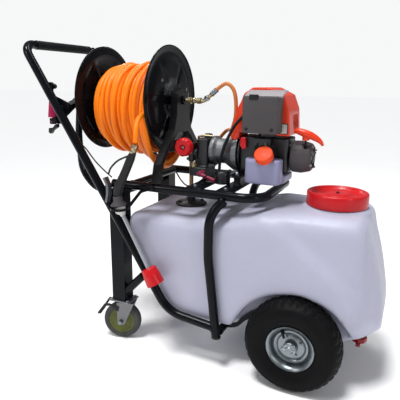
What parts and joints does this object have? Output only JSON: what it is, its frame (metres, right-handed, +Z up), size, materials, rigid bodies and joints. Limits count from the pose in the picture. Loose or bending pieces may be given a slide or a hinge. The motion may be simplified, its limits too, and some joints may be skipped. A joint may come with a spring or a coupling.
{
  "type": "wheeled sprayer cart",
  "caption": "Push cart with a moulded liquid tank on pneumatic wheels, an engine-driven pump on a tube frame, a hand-wound hose reel and a spray gun.",
  "frame": {"origin": "middle of the footprint, on the ground under the wheels", "axes": "+X towards the tank lid, -X towards the push handle, +Z up, -Y the side with the spray gun"},
  "size_m": [1.06, 0.4366, 0.904],
  "materials": {
    "black_paint": "gloss black",
    "grey_paint": "satin dark grey",
    "zinc": "zinc plated",
    "cast_metal": "as cast",
    "dark_metal": "painted",
    "brass": "turned",
    "black_rubber": "ribbed",
    "tyre_rubber": "moulded",
    "grey_rubber": "matt",
    "orange_hose": "satin",
    "tan_hose": "satin",
    "clear_hose": "ribbed",
    "white_tank": "blow moulded, satin",
    "red_plastic": "moulded",
    "orange_plastic": "moulded",
    "pink_plastic": "moulded",
    "grey_plastic": "fine texture",
    "black_plastic": "fine texture",
    "olive_hub": "moulded",
    "white_plastic": "moulded"
  },
  "bodies": {
    "frame": {"air_filter_cover": "grey_plastic", "axle_cradle": "black_paint", "carburettor": "dark_metal", "caster_column_far": "black_paint", "caster_column_near": "black_paint", "clutch_housing": "cast_metal", "crankcase": "cast_metal", "cylinder": "cast_metal", "deck_frame": "black_paint", "engine_mount": "black_paint", "engine_shroud": "orange_plastic", "fuel_tank": "white_tank", "gun_body": "black_plastic", "gun_hose": "orange_hose", "handle_bar": "black_paint", "handle_grip": "black_rubber", "hoop_far": "black_paint", "hoop_near": "black_paint", "pump_body": "dark_metal", "pump_hose": "tan_hose", "rear_axle": "zinc", "reel_stand_left": "black_paint", "reel_stand_right": "grey_paint", "side_tube_far": "black_paint", "side_tube_near": "black_paint", "silencer": "dark_metal", "starter_housing": "grey_plastic", "strainer": "white_plastic", "suction_flange": "black_plastic", "suction_hose": "clear_hose", "swivel_fitting": "brass", "tank": "white_tank"},
    "tank_lid": {"tank_lid": "red_plastic"},
    "drain_plug": {"drain_plug": "red_plastic"},
    "fuel_cap": {"fuel_cap": "orange_plastic"},
    "pressure_knob": {"pressure_knob": "red_plastic"},
    "valve_lever": {"valve_lever": "pink_plastic"},
    "gun_trigger": {"gun_trigger": "cast_metal"},
    "gun_nozzle": {"gun_nozzle": "red_plastic"},
    "starter_grip": {"starter_grip": "orange_plastic"},
    "drive_shaft": {"drive_shaft": "zinc"},
    "throttle_lever": {"throttle_lever": "red_plastic"},
    "reel": {"reel_drum": "black_paint", "reel_flange_left": "black_paint", "reel_flange_right": "black_paint", "hose_pack": "orange_hose", "crank_arm": "black_paint"},
    "crank_grip": {"crank_grip": "pink_plastic"},
    "rear_wheel_near": {"rear_tyre_near": "tyre_rubber", "rear_rim_near": "zinc"},
    "caster_near": {"caster_fork_near": "zinc"},
    "caster_wheel_near": {"caster_tyre_near": "grey_rubber", "caster_hub_near": "olive_hub"},
    "brake_pedal_near": {"brake_pedal_near": "black_plastic"},
    "rear_wheel_far": {"rear_tyre_far": "tyre_rubber", "rear_rim_far": "zinc"},
    "caster_far": {"caster_fork_far": "zinc"},
    "caster_wheel_far": {"caster_tyre_far": "grey_rubber", "caster_hub_far": "olive_hub"},
    "brake_pedal_far": {"brake_pedal_far": "black_plastic"}
  },
  "joints": [
    {"name": "rear_wheel_near_spin", "type": "hinge", "parent": "frame", "child": "rear_wheel_near", "pos_m": [0.325, -0.15325, 0.1275], "axis": [0, 1, 0], "continuous": true},
    {"name": "caster_near_swivel", "type": "hinge", "parent": "frame", "child": "caster_near", "pos_m": [-0.203, -0.12995, 0.1257], "axis": [0, 0, 1], "continuous": true},
    {"name": "caster_near_roll", "type": "hinge", "parent": "caster_near", "child": "caster_wheel_near", "pos_m": [-0.21742, -0.13408, 0.059], "axis": [-0.2756, 0.9613, 0], "continuous": true},
    {"name": "brake_near_press", "type": "hinge", "parent": "caster_near", "child": "brake_pedal_near", "pos_m": [-0.22703, -0.13684, 0.102], "axis": [-0.2756, 0.9613, 0], "range_deg": [-12, 0]},
    {"name": "rear_wheel_far_spin", "type": "hinge", "parent": "frame", "child": "rear_wheel_far", "pos_m": [0.325, 0.17675, 0.1275], "axis": [0, 1, 0], "continuous": true},
    {"name": "caster_far_swivel", "type": "hinge", "parent": "frame", "child": "caster_far", "pos_m": [-0.203, 0.15345, 0.1257], "axis": [0, 0, 1], "continuous": true},
    {"name": "caster_far_roll", "type": "hinge", "parent": "caster_far", "child": "caster_wheel_far", "pos_m": [-0.21777, 0.15085, 0.059], "axis": [-0.1736, 0.9848, 0], "continuous": true},
    {"name": "brake_far_press", "type": "hinge", "parent": "caster_far", "child": "brake_pedal_far", "pos_m": [-0.22762, 0.14911, 0.102], "axis": [-0.1736, 0.9848, 0], "range_deg": [-12, 0]},
    {"name": "reel_wind", "type": "hinge", "parent": "frame", "child": "reel", "pos_m": [-0.235, 0.01175, 0.733], "axis": [1, 0, 0], "continuous": true},
    {"name": "grip_fold", "type": "hinge", "parent": "reel", "child": "crank_grip", "pos_m": [-0.477, -0.09725, 0.661], "axis": [0, 1, 0], "range_deg": [-90, 0]},
    {"name": "lid_lift", "type": "slide", "parent": "frame", "child": "tank_lid", "axis": [0, 0, 1], "range_m": [0, 0.04]},
    {"name": "drain_turn", "type": "hinge", "parent": "frame", "child": "drain_plug", "pos_m": [0.477, -0.01825, 0.118], "axis": [0, 0, 1], "range_deg": [0, 90]},
    {"name": "fuel_cap_turn", "type": "hinge", "parent": "frame", "child": "fuel_cap", "pos_m": [0.198, -0.07225, 0.59], "axis": [0, -0.7071, 0.7071], "range_deg": [0, 90]},
    {"name": "pressure_turn", "type": "hinge", "parent": "frame", "child": "pressure_knob", "pos_m": [-0.043, -0.05425, 0.604], "axis": [0, 1, 0], "range_deg": [-135, 135]},
    {"name": "valve_turn", "type": "hinge", "parent": "frame", "child": "valve_lever", "pos_m": [0.017, -0.06825, 0.535], "axis": [0, 1, 0], "range_deg": [-60, 0]},
    {"name": "trigger_pull", "type": "hinge", "parent": "frame", "child": "gun_trigger", "pos_m": [-0.21, -0.19125, 0.481], "axis": [0, 1, 0], "range_deg": [0, 8], "stiffness_Nm_per_rad": 0.6, "springref_deg": -14.32},
    {"name": "nozzle_turn", "type": "hinge", "parent": "frame", "child": "gun_nozzle", "pos_m": [-0.07581, -0.19125, 0.25865], "axis": [0.4809, 0, -0.8768], "range_deg": [-45, 45]},
    {"name": "starter_pull", "type": "slide", "parent": "frame", "child": "starter_grip", "axis": [0, 0, 1], "range_m": [0, 0.03], "stiffness_N_per_m": 60, "springref_m": -0.02},
    {"name": "shaft_spin", "type": "hinge", "parent": "frame", "child": "drive_shaft", "pos_m": [0.125, 0.01175, 0.592], "axis": [1, 0, 0], "continuous": true},
    {"name": "throttle_turn", "type": "hinge", "parent": "frame", "child": "throttle_lever", "pos_m": [-0.437, -0.14125, 0.767], "axis": [0, 1, 0], "range_deg": [-35, 0]}
  ]
}
